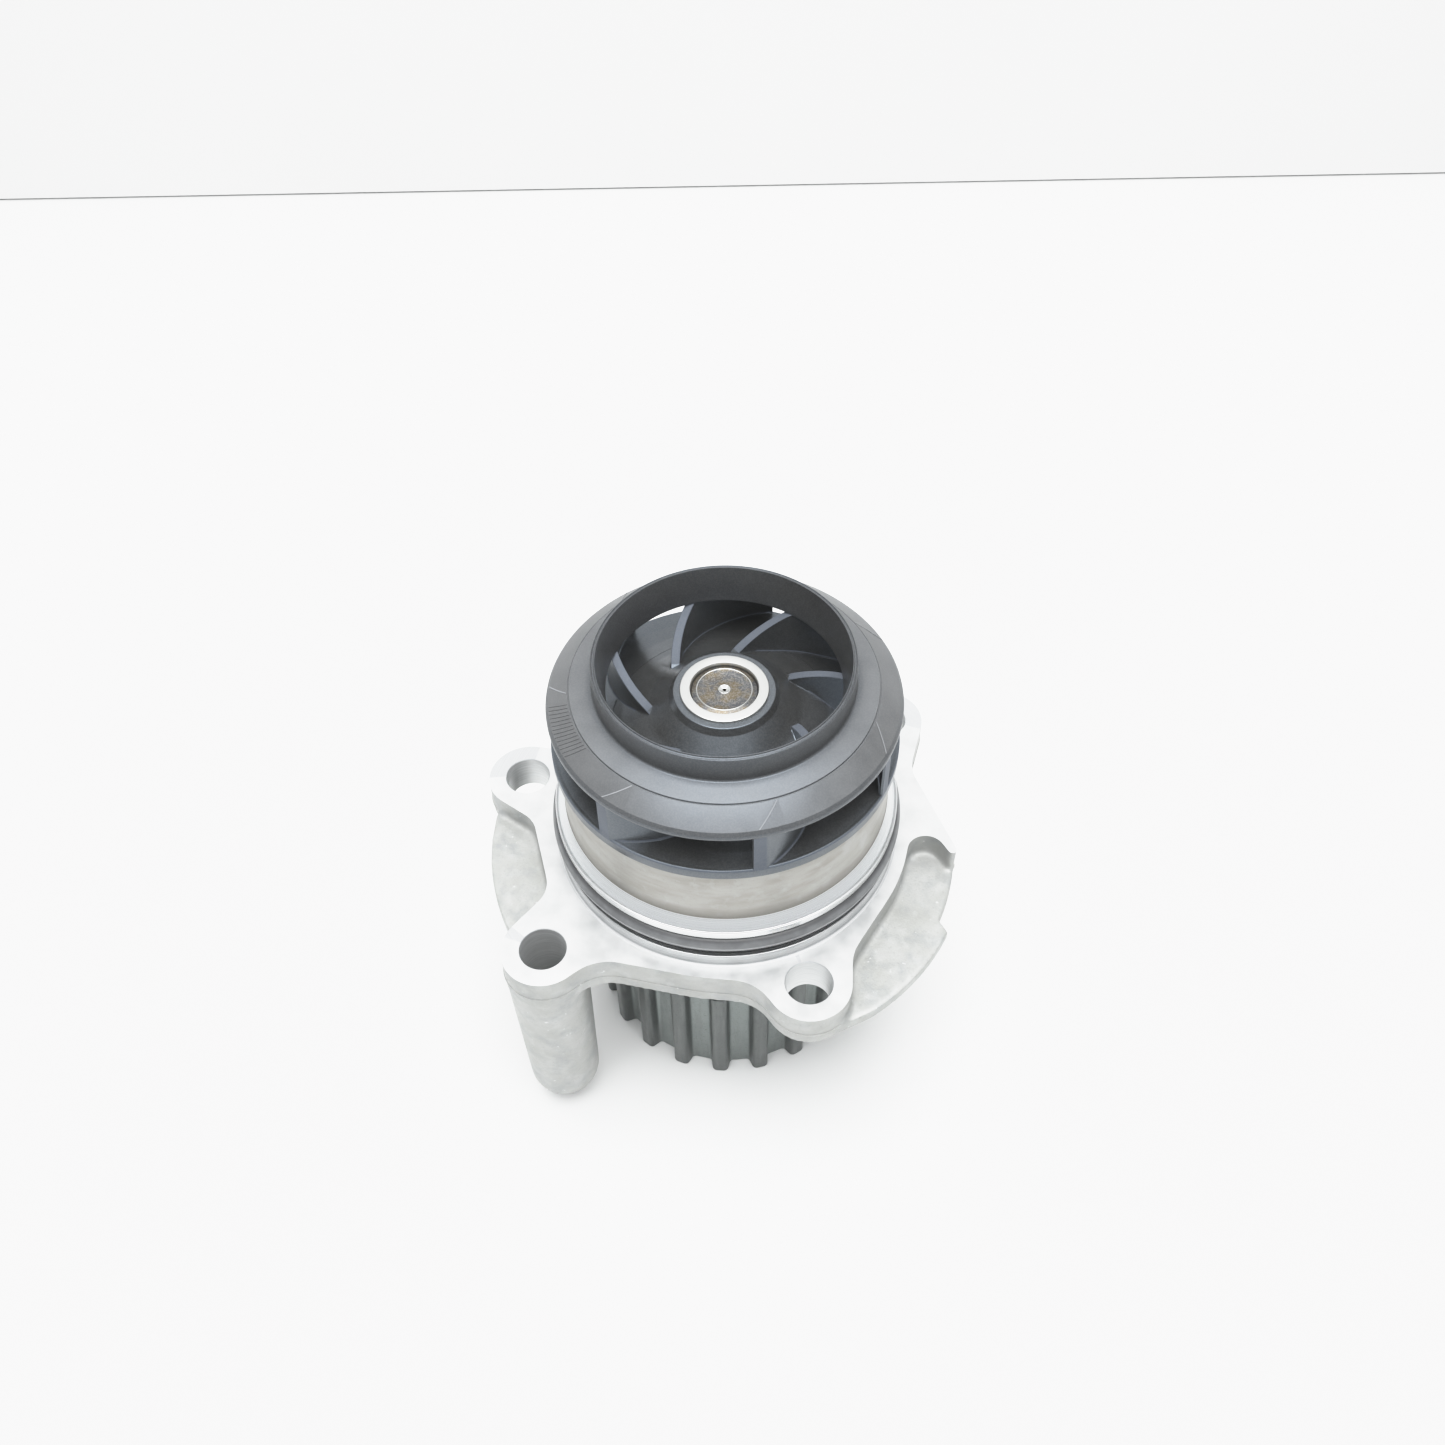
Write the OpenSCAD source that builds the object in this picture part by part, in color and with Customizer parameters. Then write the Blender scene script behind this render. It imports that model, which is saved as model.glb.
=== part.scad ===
/* [Mounting flange] */
// Thickness of the mounting flange
flange_t = 8.5; // [7.5:0.5:10]
// Radius of the round middle of the flange
flange_r = 38.3; // [37.9:0.1:38.3]
// Radius of the metal around each bolt hole
ear_r = 8.4; // [8:0.1:8.4]
// Radius of the four bolt holes
bolt_r = 4.65; // [4.2:0.05:5]
// Thickness of the thin cast web between the two left ears
left_web_t = 3.5; // [2.5:0.5:5]
// Thickness of the thin cast web between the two right ears
right_web_t = 2.8; // [2:0.2:5]

/* [Pillar under the front left ear] */
// Height of the pillar's rounded end below the mounting face
pillar_drop = 53.3; // [48:0.1:54]
// Radius of the pillar where it leaves the flange
pillar_top_r = 8.3; // [7.9:0.1:8.4]
// Radius of the pillar's rounded end
pillar_end_r = 7.5; // [7:0.1:7.9]
// Depth of the blind hole in the pillar
pillar_hole = 38; // [20:1:42]

/* [Spigot and O-ring] */
// Radius of the pilot spigot
spigot_r = 35.3; // [35:0.1:35.8]
// Height of the pilot's lower land
lip_h = 3; // [2.8:0.1:3.4]
// Width of the O-ring groove
groove_w = 6.3; // [5.8:0.1:6.4]
// Height of the land above the groove
land_h = 1.6; // [1:0.1:1.7]
// Radius of the groove's floor
groove_r = 32.2; // [31.8:0.1:32.5]
// Thickness of the O-ring's cord
o_ring_d = 3.8; // [3.4:0.1:4.2]
// Radius of the housing's drum under the impeller
drum_r = 32.9; // [32:0.1:33.2]
// Height of the drum above the mounting face
drum_top = 27.1; // [25:0.1:27.2]

/* [Shaft and bearing] */
// Radius of the shaft inside the bearing
shaft_r = 7.96; // [7.9:0.01:8]
// Radius of the shaft's impeller end
stub_r = 6; // [5.5:0.1:6.2]
// Outer radius of the bearing
bearing_r = 15; // [14.8:0.1:15.5]
// Number of balls
balls = 8; // [6:1:8]
// Number of rollers
rollers = 9; // [7:1:9]

/* [Impeller] */
// Outer radius of the impeller
impeller_r = 34.1; // [33.8:0.1:34.2]
// Number of blades
blades = 7; // [5:1:9]
// Thickness of a blade
blade_t = 1.7; // [1.5:0.1:2.4]
// Inner radius of the inlet collar at its rim
eye_r = 23.9; // [23.6:0.1:24]
// Inner radius at the foot of the inlet collar
lip_r = 22.4; // [22.3:0.1:22.6]
// Height of the inlet collar's rim above the mounting face
collar_top = 50.5; // [48:0.1:52]

/* [Pulley] */
// Number of teeth
teeth = 20; // [18:1:22]
// Radius over the tooth tips
tip_r = 29.6; // [29.2:0.1:30]
// Radius at the bottom of the tooth gaps
root_r = 26.9; // [26.5:0.1:27.5]
// Height of the toothed rim
rim_h = 31.3; // [24:0.1:32]

/* [Hidden] */
$fn = 64;
arc_step = 6;
cut = 0.5;

// Bolt holes, from the shaft's axis.
rear_left = [-43.1, 13.1];
front_left = [-36.8, -30.8];
front_right = [15.4, -39.5];
rear_right = [35.7, 27.6];

// Heights along the shaft's axis, from the mounting face.
pulley_bottom = -55.3;
pulley_top = pulley_bottom + rim_h;
web_top = pulley_bottom + 5;
pulley_hub_top = -45.3;
boss_bottom = -44.5;
bearing_bottom = -43.5;
bearing_top = -6.5;
ball_z = -14.5;
roller_z = -32;
weep_z = -3.9;
seal_floor = 1;
cavity_floor = 3;
tower_top = 13;
seal_face = 18.4;
shaft_step = 24;
shaft_bottom = -54.8;
shaft_top = 41.5;
insert_top = 41.9;
hub_bottom = 24.6;
disc_bottom = 27.6;
step_top = 12.8;

// Room left in the groove over the O-ring.
o_ring_gap = 0.6;

// Radii that are not driven from the top.
boss_r = 20.5;
weep_r = 2;
chamber_r = 13.5;
tower_r = 22;
rib_r = 34;
cavity_r = 28.5;
seal_bore_r = 18.25;
insert_r = 8.55;
insert_mouth_r = 6.64;
ring_bore_r = 13;
ball_r = 2.778;
ball_pitch_r = 10.45;
roller_r = 2.5;
roller_l = 9;
roller_pitch_r = 10.48;
play = 0.04;
collar_w = 1;
pulley_bore_r = 23.2;
pulley_hub_r = 13;
left_web_r = 50.5;
right_web_r = 48.5;
right_pad_r = 51.1;

// A closed outline, counter-clockwise, is a list of circles [x, y, radius] that a
// line is wrapped round: a positive radius is a boss, a negative one a hollow.
FLANGE = [
    [rear_right[0], rear_right[1], ear_r],
    [24.2, 42.2, -10],
    [0, 0, flange_r],
    [-37.6, 30.8, -10],
    [rear_left[0], rear_left[1], ear_r],
    [-46.8, -2.8, -6.6],
    [-43.5, -15.5, -6.5],
    [front_left[0], front_left[1], ear_r],
    [-23.8, -44, -10],
    [0, 0, flange_r],
    [-0.2, -47.6, -9],
    [front_right[0], front_right[1], ear_r],
    [33.5, -36, -9.4],
    [0, 0, flange_r],
    [41.4, -8.8, -4],
    [46.8, -8.6, 0.9],
    [50, 13.5, -9.4]
];

// Surface of the impeller hub that the water runs over, [radius, height], from the rim in.
HUB_TOP = [
    [impeller_r, 29.2], [33.9, 29.7], [33.3, 30], [30, 30.4], [26, 31.3],
    [20, 33.5], [14.7, 36.4], [10.6, 40], [9.8, 41.3]
];
// Underside of the shroud over the same passage, from the rim in.
SHROUD_UNDER = [[impeller_r, 39.3], [29.5, 41.2], [25.5, 42.3], [22.8, 42.9], [lip_r, 43.3]];
// A blade's middle line, [radius, angle], at its root, under the collar and at the rim.
BLADE = [[14.7, 27.6], [22.6, 4.6], [34, -29.3]];

function whole_turn(a) = ((a % 360) + 360) % 360;

// Direction square to the line that is wrapped from one circle to the next.
function square_to(a, b) =
    atan2(b[1] - a[1], b[0] - a[0]) + acos((b[2] - a[2]) / norm([b[0] - a[0], b[1] - a[1]]));

function wrapped(c) = [
    for (i = [0 : len(c) - 1])
        let (
            first = square_to(c[(i + len(c) - 1) % len(c)], c[i]),
            last = square_to(c[i], c[(i + 1) % len(c)]),
            turn = c[i][2] > 0 ? whole_turn(last - first) : -whole_turn(first - last),
            steps = max(1, ceil(abs(turn) / arc_step))
        )
        for (k = [0 : steps])
            let (a = first + turn * k / steps)
            [c[i][0] - c[i][2] * cos(a), c[i][1] - c[i][2] * sin(a)]
];

function arc(r, from, to) = [
    for (k = [0 : ceil(abs(to - from) / 3)])
        let (a = from + (to - from) * k / ceil(abs(to - from) / 3))
        [r * cos(a), r * sin(a)]
];

function polar(p) = [p[0] * cos(p[1]), p[0] * sin(p[1])];

function reversed(list) = [for (i = [len(list) - 1 : -1 : 0]) list[i]];

// Centre of the circle through three points.
function centre_of(p, q, s) =
    let (
        d = 2 * (p[0] * (q[1] - s[1]) + q[0] * (s[1] - p[1]) + s[0] * (p[1] - q[1])),
        pp = p * p,
        qq = q * q,
        ss = s * s
    )
    [
        (pp * (q[1] - s[1]) + qq * (s[1] - p[1]) + ss * (p[1] - q[1])) / d,
        (pp * (s[0] - q[0]) + qq * (p[0] - s[0]) + ss * (q[0] - p[0])) / d
    ];

// A ring between two radii and two heights.
module ring(r_in, r_out, low, high) {
    translate([0, 0, low])
        difference() {
            cylinder(h = high - low, r = r_out);
            translate([0, 0, -cut]) cylinder(h = high - low + 2 * cut, r = r_in);
        }
}

module bore(at, r, low, high) {
    translate([at[0], at[1], low]) cylinder(h = high - low, r = r);
}

// Housing

module left_web() {
    translate([0, 0, -flange_t])
        linear_extrude(left_web_t)
            polygon(concat(arc(left_web_r, 168, 212), [[-30, -24], [-30, 8]]));
}

module right_web() {
    translate([0, 0, -flange_t])
        linear_extrude(right_web_t)
            polygon(concat(
                [[20, -46.5]],
                arc(right_pad_r, -57.5, -29),
                arc(right_web_r, -27, -8),
                [[38, -2], [20, -20], [14, -36]]
            ));
}

// Outside of the spigot and drum, [radius, height], from the mounting face up.
module spigot() {
    ring_low = lip_h + groove_w;
    rotate_extrude()
        polygon([
            [0, -cut], [spigot_r, -cut], [spigot_r, lip_h - 0.3], [spigot_r - 0.3, lip_h],
            [groove_r, lip_h], [groove_r, ring_low], [spigot_r - 0.2, ring_low],
            [spigot_r - 0.2, ring_low + land_h], [spigot_r - 0.7, ring_low + land_h + 0.1],
            [drum_r + 0.2, step_top - 0.2], [drum_r, step_top + 0.3], [drum_r, drum_top], [0, drum_top]
        ]);
}

module pillar() {
    dome_z = pillar_end_r - pillar_drop;
    translate([front_left[0], front_left[1], dome_z]) {
        sphere(r = pillar_end_r);
        cylinder(h = -flange_t - dome_z + cut, r1 = pillar_end_r, r2 = pillar_top_r);
    }
}

// Stiffening ribs from the bearing boss to the underside of the flange.
module ribs() {
    for (a = [163, 255, 291, 338, 38, 100])
        rotate(a)
            rotate([90, 0, 0])
                translate([0, 0, -1.75])
                    linear_extrude(3.5)
                        polygon([[16, -flange_t + cut], [rib_r, -flange_t + cut], [rib_r, -flange_t - 1], [16, -22]]);
}

module housing() {
    color("gainsboro")
        difference() {
            union() {
                translate([0, 0, -flange_t]) linear_extrude(flange_t) polygon(wrapped(FLANGE));
                left_web();
                right_web();
                spigot();
                pillar();
                ribs();
                bore([0, 0], boss_r, boss_bottom, -flange_t + cut);
            }
            bore(rear_left, bolt_r, -flange_t - cut, cut);
            bore(front_right, bolt_r, -flange_t - cut, cut);
            bore(rear_right, bolt_r, -flange_t - cut, cut);
            bore(front_left, bolt_r, -pillar_hole, cut);
            ring(tower_r, cavity_r, cavity_floor, drum_top + cut);
            bore([0, 0], tower_r + cut, tower_top, drum_top + cut);
            bore([0, 0], seal_bore_r, seal_floor, tower_top + cut);
            bore([0, 0], chamber_r, bearing_top - cut, seal_floor + cut);
            bore([0, 0], bearing_r, boss_bottom - cut, bearing_top);
            translate([0, 0, weep_z]) rotate([-90, 0, 0]) cylinder(h = flange_r + 1, r = weep_r);
        }
}

module weep_hole_cap() {
    color("dimgray")
        translate([0, flange_r - 4, weep_z])
            rotate([-90, 0, 0])
                difference() {
                    cylinder(h = 3.5, r = weep_r);
                    translate([0, 0, -cut]) cylinder(h = 3, r = weep_r - 0.6);
                }
}

module pilot_o_ring() {
    color("darkslategray")
        translate([0, 0, lip_h + groove_w - o_ring_gap - o_ring_d / 2])
            rotate_extrude() translate([groove_r + o_ring_d / 2, 0]) circle(d = o_ring_d);
}

// Shaft bearing: one row of balls and one row of rollers, running straight on the shaft

module bearing_outer_ring() {
    color("silver")
        difference() {
            ring(ring_bore_r, bearing_r, bearing_bottom, bearing_top);
            translate([0, 0, ball_z])
                rotate_extrude() translate([ball_pitch_r, 0]) circle(r = ball_r + play);
        }
}

// A lip seal clipped into one end of the bearing's outer ring.
module bearing_seal(low) {
    color("black") ring(shaft_r + 0.05, ring_bore_r, low, low + 1.6);
}

module bearing_seal_impeller_side() {
    bearing_seal(bearing_top - 2.4);
}

module bearing_seal_pulley_side() {
    bearing_seal(bearing_bottom + 0.8);
}

module ball_row(r) {
    for (i = [0 : balls - 1])
        rotate(i * 360 / balls) translate([ball_pitch_r, 0, ball_z]) sphere(r = r);
}

module roller_row(r, l) {
    for (i = [0 : rollers - 1])
        rotate(i * 360 / rollers)
            translate([roller_pitch_r, 0, roller_z - l / 2]) cylinder(h = l, r = r);
}

module bearing_balls() {
    color("lightgray") ball_row(ball_r);
}

module bearing_rollers() {
    color("lightgray") roller_row(roller_r, roller_l);
}

module ball_cage() {
    color("burlywood")
        difference() {
            ring(9.4, 11.6, ball_z - 3.6, ball_z + 3.6);
            ball_row(ball_r + play);
        }
}

module roller_cage() {
    color("burlywood")
        difference() {
            ring(9.4, 11.6, roller_z - roller_l / 2 - 1.5, roller_z + roller_l / 2 + 1.5);
            roller_row(roller_r + play, roller_l + 0.2);
        }
}

// Mechanical face seal between the water and the bearing

module seal_cup() {
    color("goldenrod")
        rotate_extrude()
            polygon([
                [10, seal_floor], [seal_bore_r, seal_floor], [seal_bore_r, tower_top], [20.2, tower_top],
                [20.2, tower_top + 0.6], [17.6, tower_top + 0.6], [17.6, seal_floor + 0.6],
                [10.6, seal_floor + 0.6], [10.6, 7], [10, 7]
            ]);
}

module seal_bellows() {
    color("black")
        rotate_extrude()
            polygon([
                [10.8, 1.8], [17.4, 1.8], [17.4, 2.8], [12.8, 2.8], [12.8, 6], [12, 8],
                [12, 10.5], [13.8, 12.4], [13.8, 14.4], [10.8, 14.4], [10.8, 8], [11.6, 6], [10.8, 4]
            ]);
}

// A coil spring: rings of points along a helix, joined into one tube.
module seal_spring() {
    wire_r = 0.75;
    coil_r = 15.6;
    low = 3.6;
    high = 12.6;
    turns = 3;
    sides = 8;
    rings = 20 * turns;
    points = [
        for (i = [0 : rings], j = [0 : sides - 1])
            let (a = 360 * turns * i / rings, b = 360 * j / sides, r = coil_r + wire_r * cos(b))
            [r * cos(a), r * sin(a), low + (high - low) * i / rings + wire_r * sin(b)]
    ];
    walls = [
        for (i = [0 : rings - 1], j = [0 : sides - 1])
            let (k = (j + 1) % sides)
            [i * sides + j, (i + 1) * sides + j, (i + 1) * sides + k, i * sides + k]
    ];
    ends = [[for (j = [0 : sides - 1]) j], [for (j = [sides - 1 : -1 : 0]) rings * sides + j]];
    color("silver") polyhedron(points = points, faces = concat(walls, ends));
}

module seal_ferrule() {
    color("silver")
        rotate_extrude()
            polygon([[14, 13.5], [17.2, 13.5], [17.2, 14.1], [14.6, 14.1], [14.6, 16], [14, 16]]);
}

module seal_carbon_ring() {
    color("dimgray")
        rotate_extrude()
            polygon([
                [10.2, 14.5], [13.9, 14.5], [13.9, 16.8], [13, 17.2], [13, seal_face], [11, seal_face],
                [11, 17.2], [10.2, 16.8]
            ]);
}

// Rotor

module shaft() {
    color("slategray")
        difference() {
            rotate_extrude()
                polygon([
                    [0, shaft_bottom], [shaft_r - 0.8, shaft_bottom], [shaft_r, shaft_bottom + 0.8],
                    [shaft_r, shaft_step], [stub_r, shaft_step], [stub_r, shaft_top - 0.7],
                    [stub_r - 0.7, shaft_top], [0, shaft_top]
                ]);
            translate([0, 0, ball_z])
                rotate_extrude() translate([ball_pitch_r, 0]) circle(r = ball_r + play);
            translate([0, 0, shaft_top - 1]) cylinder(h = 1.01, r1 = 0.3, r2 = 1);
            translate([0, 0, shaft_bottom - 0.01]) cylinder(h = 2, r1 = 2, r2 = 0.5);
        }
}

module seal_mating_ring() {
    color("lightslategray") ring(9, 14.2, seal_face + 0.05, 22);
}

module seal_seat_boot() {
    color("black") {
        ring(shaft_r, 9, 19, 23);
        ring(9, 14.2, 22, 23);
    }
}

module impeller_insert() {
    color("whitesmoke")
        rotate_extrude()
            polygon([
                [stub_r, shaft_step], [insert_r, shaft_step], [insert_r, insert_top - 0.2],
                [insert_r - 0.2, insert_top], [insert_mouth_r, insert_top],
                [insert_mouth_r, insert_top - 1.2], [stub_r, insert_top - 1.8]
            ]);
}

module blade() {
    root = polar(BLADE[0]);
    middle = polar(BLADE[1]);
    tail = polar(BLADE[2]);
    centre = centre_of(root, middle, tail);
    r = norm(root - centre);
    a_root = atan2(root[1] - centre[1], root[0] - centre[0]) + 4;
    a_tail = atan2(tail[1] - centre[1], tail[0] - centre[0]) - 6;
    translate([0, 0, disc_bottom])
        linear_extrude(collar_top - disc_bottom)
            translate(centre)
                polygon(concat(arc(r - blade_t / 2, a_root, a_tail), arc(r + blade_t / 2, a_tail, a_root)));
}

// The space that the blades fill, between the hub and the shroud's underside.
module blade_space() {
    rotate_extrude()
        polygon(concat(
            [[13.4, 33], [34, 29]],
            [[34, SHROUD_UNDER[0][1] + 0.04]],
            [for (i = [1 : 3]) SHROUD_UNDER[i]],
            [[22.6, 42.5], [14.2, 36.9], [13.4, 36.6]]
        ));
}

module impeller_hub() {
    color("darkslategray") {
        rotate_extrude()
            polygon(concat(
                [
                    [insert_r, hub_bottom], [12.6, hub_bottom], [13.2, 32.4], [16, 31.6],
                    [24, 28.6], [28, disc_bottom], [impeller_r, disc_bottom]
                ],
                HUB_TOP,
                [[insert_r, HUB_TOP[len(HUB_TOP) - 1][1]]]
            ));
        intersection() {
            blade_space();
            for (i = [0 : blades - 1]) rotate(i * 360 / blades) blade();
        }
    }
}

module impeller_shroud() {
    outside = eye_r + collar_w;
    color("darkslategray")
        rotate_extrude()
            polygon(concat(
                SHROUD_UNDER,
                [
                    [eye_r, collar_top - 0.3], [eye_r + 0.3, collar_top], [outside - 0.3, collar_top],
                    [outside, collar_top - 0.3], [outside, 45.8], [25.3, 45], [26.1, 44.6], [29.3, 44],
                    [29.4, 43.7], [29.6, 43.7], [33.5, 40.9], [34, 40.4], [impeller_r, 40.1]
                ]
            ));
}

// One tooth, narrowing from its root to its tip.
module tooth() {
    polygon([polar([root_r - 1, -4.1]), polar([tip_r, -3.1]), polar([tip_r, 3.1]), polar([root_r - 1, 4.1])]);
}

module pulley() {
    color("dimgray")
        difference() {
            translate([0, 0, pulley_bottom])
                linear_extrude(rim_h) {
                    circle(r = root_r);
                    for (i = [0 : teeth - 1]) rotate(-94.8 + i * 360 / teeth) tooth();
                }
            ring(pulley_hub_r, pulley_bore_r, web_top, pulley_top + cut);
            bore([0, 0], pulley_hub_r + cut, pulley_hub_top, pulley_top + cut);
            bore([0, 0], shaft_r, pulley_bottom - cut, pulley_top);
            ring(pulley_hub_r, pulley_bore_r, pulley_bottom - cut, pulley_bottom + 1);
        }
}

housing();
weep_hole_cap();
pilot_o_ring();
bearing_outer_ring();
bearing_seal_impeller_side();
bearing_seal_pulley_side();
bearing_balls();
ball_cage();
bearing_rollers();
roller_cage();
seal_cup();
seal_bellows();
seal_spring();
seal_ferrule();
seal_carbon_ring();
shaft();
seal_mating_ring();
seal_seat_boot();
impeller_insert();
impeller_hub();
impeller_shroud();
pulley();
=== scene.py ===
"""Looks of an automotive water pump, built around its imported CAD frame.

Shapes are built in millimetres, with the shaft's axis on Z and the flange's mounting face at z = 0,
and are scaled to metres when they are finished.
"""
import math

import bmesh
import bpy
import numpy as np
from mathutils import Matrix, Vector


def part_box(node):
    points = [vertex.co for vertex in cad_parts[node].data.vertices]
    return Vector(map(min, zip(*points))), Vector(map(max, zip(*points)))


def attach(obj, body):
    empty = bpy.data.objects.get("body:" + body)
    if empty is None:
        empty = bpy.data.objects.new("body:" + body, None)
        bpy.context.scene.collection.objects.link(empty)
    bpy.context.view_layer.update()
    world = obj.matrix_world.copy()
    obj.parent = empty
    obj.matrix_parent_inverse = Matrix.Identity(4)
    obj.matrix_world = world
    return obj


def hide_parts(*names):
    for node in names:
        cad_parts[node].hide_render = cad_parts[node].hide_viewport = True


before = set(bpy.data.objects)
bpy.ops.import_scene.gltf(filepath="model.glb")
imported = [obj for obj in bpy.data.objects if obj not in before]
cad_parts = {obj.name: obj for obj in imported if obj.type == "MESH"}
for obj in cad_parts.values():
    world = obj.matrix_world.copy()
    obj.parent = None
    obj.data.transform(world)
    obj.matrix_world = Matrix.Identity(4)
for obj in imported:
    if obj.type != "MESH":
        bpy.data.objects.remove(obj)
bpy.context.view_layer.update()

MM = 0.001
TURN = 2 * math.pi


# ---------------------------------------------------------------- sizes, in mm

def top(node):
    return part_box(node)[1][2] / MM


def bottom(node):
    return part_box(node)[0][2] / MM


def outer_radius(node):
    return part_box(node)[1][0] / MM


IMPELLER_R = outer_radius("impeller_shroud")
COLLAR_TOP = top("impeller_shroud")
DISC_BOTTOM = 27.6
EYE_R = 23.9
LIP_R = 22.4
COLLAR_R = 24.9
BLADES = 7
BLADE_LEAD_T, BLADE_TAIL_T = 1.8, 1.4

INSERT_R = outer_radius("impeller_insert")
INSERT_TOP = top("impeller_insert")
INSERT_BOTTOM = bottom("impeller_insert")
SHAFT_R = outer_radius("shaft")
SHAFT_TOP = top("shaft")
SHAFT_BOTTOM = bottom("shaft")
STUB_R = 6.0

SPIGOT_R = 35.3
LIP_H = 3.0
GROOVE_R = 32.2
GROOVE_TOP = 9.3
SLOPE_FOOT = 11.0
DRUM_R = 32.9
DRUM_TOP = 27.1
O_RING_D = top("pilot_o_ring") - bottom("pilot_o_ring")
O_RING_Z = (top("pilot_o_ring") + bottom("pilot_o_ring")) / 2

FLANGE_T = 8.5
FLANGE_R = 38.3
EAR_R = 8.4
BOLT_R = 4.65
BOSS_R = 20.5
BOSS_BOTTOM = -44.5
PILLAR_END_R = 7.5
PILLAR_TOP_R = 8.3
PILLAR_BOTTOM = bottom("housing")
PILLAR_HOLE = 38.0
LEFT_WEB_T, RIGHT_WEB_T = 3.5, 2.8
RIB_ANGLES = (163, 255, 291, 338, 38, 100)
BEARING_R, BEARING_TOP = 15, -6.5
CHAMBER_R = 13.5
SEAL_R, SEAL_FLOOR = 18.25, 1
TOWER_R, TOWER_TOP = 22, 13
CAVITY_R, CAVITY_FLOOR = 28.5, 3
WEEP_R, WEEP_Z = 2, -3.9
REAR_LEFT = (-43.1, 13.1)
FRONT_LEFT = (-36.8, -30.8)
FRONT_RIGHT = (15.4, -39.5)
REAR_RIGHT = (35.7, 27.6)

PULLEY_BOTTOM = bottom("pulley")
PULLEY_TOP = top("pulley")
TEETH = 20
TIP_R = outer_radius("pulley")
ROOT_R = 26.9
FIRST_TOOTH = math.radians(-94.8)

# The flange's outline is a line wrapped round these circles, (x, y, radius), counter-clockwise:
# a positive radius is a boss, a negative one a hollow.
FLANGE = [
    (*REAR_RIGHT, EAR_R), (24.2, 42.2, -10), (0, 0, FLANGE_R), (-37.6, 30.8, -10),
    (*REAR_LEFT, EAR_R), (-46.8, -2.8, -6.6), (-43.5, -15.5, -6.5),
    (*FRONT_LEFT, EAR_R), (-23.8, -44, -10), (0, 0, FLANGE_R), (-0.2, -47.6, -9),
    (*FRONT_RIGHT, EAR_R), (33.5, -36, -9.4), (0, 0, FLANGE_R), (41.4, -8.8, -4),
    (46.8, -8.6, 0.9), (50, 13.5, -9.4),
]


# ---------------------------------------------------------------- outlines and meshes

def polar(r, degrees):
    a = math.radians(degrees)
    return (r * math.cos(a), r * math.sin(a))


def arc(r, start, end, step=2.0):
    n = max(1, math.ceil(abs(end - start) / step))
    return [polar(r, start + (end - start) * k / n) for k in range(n + 1)]


def wrapped(circles, grow=0.0, step=math.radians(4)):
    """The closed line wrapped round signed circles, moved outwards by grow."""

    def square_to(a, b):
        gap = math.hypot(b[0] - a[0], b[1] - a[1])
        return math.atan2(b[1] - a[1], b[0] - a[0]) + math.acos((b[2] - a[2]) / gap)

    points = []
    for i, (x, y, r) in enumerate(circles):
        first = square_to(circles[i - 1], circles[i])
        last = square_to(circles[i], circles[(i + 1) % len(circles)])
        turn = (last - first) % TURN if r > 0 else -((first - last) % TURN)
        n = max(1, math.ceil(abs(turn) / step))
        for k in range(n + 1):
            a = first + turn * k / n
            points.append((x - (r + grow) * math.cos(a), y - (r + grow) * math.sin(a)))
    return points


def rounded(corners, steps=5, closed=True):
    """A polyline whose corners (x, y, radius) are rounded off; a corner with no radius stays sharp."""
    points = []
    for i, corner in enumerate(corners):
        end = not closed and i in (0, len(corners) - 1)
        if len(corner) < 3 or corner[2] == 0 or end:
            points.append(tuple(corner[:2]))
            continue
        p = np.array(corner[:2], float)
        u = np.array(corners[i - 1][:2], float) - p
        v = np.array(corners[(i + 1) % len(corners)][:2], float) - p
        lu, lv = np.linalg.norm(u), np.linalg.norm(v)
        u, v = u / lu, v / lv
        half = math.acos(max(-1.0, min(1.0, float(u @ v)))) / 2
        r = min(corner[2], 0.49 * min(lu, lv) * math.tan(half))
        middle = p + (u + v) / np.linalg.norm(u + v) * r / math.sin(half)
        a = math.atan2(*(p + u * r / math.tan(half) - middle)[::-1])
        b = math.atan2(*(p + v * r / math.tan(half) - middle)[::-1])
        turn = (b - a + math.pi) % TURN - math.pi
        for k in range(steps + 1):
            t = a + turn * k / steps
            points.append((middle[0] + r * math.cos(t), middle[1] + r * math.sin(t)))
    return points


def new_piece(name, points, faces):
    mesh = bpy.data.meshes.new(name)
    mesh.from_pydata([tuple(map(float, p)) for p in points], [], faces)
    shape = bmesh.new()
    shape.from_mesh(mesh)
    bmesh.ops.remove_doubles(shape, verts=shape.verts, dist=1e-4)
    bmesh.ops.recalc_face_normals(shape, faces=shape.faces)
    shape.to_mesh(mesh)
    shape.free()
    piece = bpy.data.objects.new(name, mesh)
    bpy.context.scene.collection.objects.link(piece)
    return piece


def loft(name, rings, closed=False):
    """Skins rings of equally many (x, y, z) points; closed joins the last ring to the first."""
    n = len(rings[0])
    points = [p for ring in rings for p in ring]
    faces = []
    for i in range(len(rings) if closed else len(rings) - 1):
        a, b = i * n, ((i + 1) % len(rings)) * n
        faces += [(a + k, a + (k + 1) % n, b + (k + 1) % n, b + k) for k in range(n)]
    if not closed:
        faces += [tuple(range(n))[::-1], tuple((len(rings) - 1) * n + k for k in range(n))]
    return new_piece(name, points, faces)


def lathe(name, profile, steps=256):
    """Turns a closed profile of (radius, z) points round the shaft's axis."""
    rings = []
    for k in range(steps):
        c, s = math.cos(TURN * k / steps), math.sin(TURN * k / steps)
        rings.append([(r * c, r * s, z) for r, z in profile])
    return loft(name, rings, closed=True)


def prism(name, outline, low, high):
    return loft(name, [[(x, y, z) for x, y in outline] for z in (low, high)])


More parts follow.
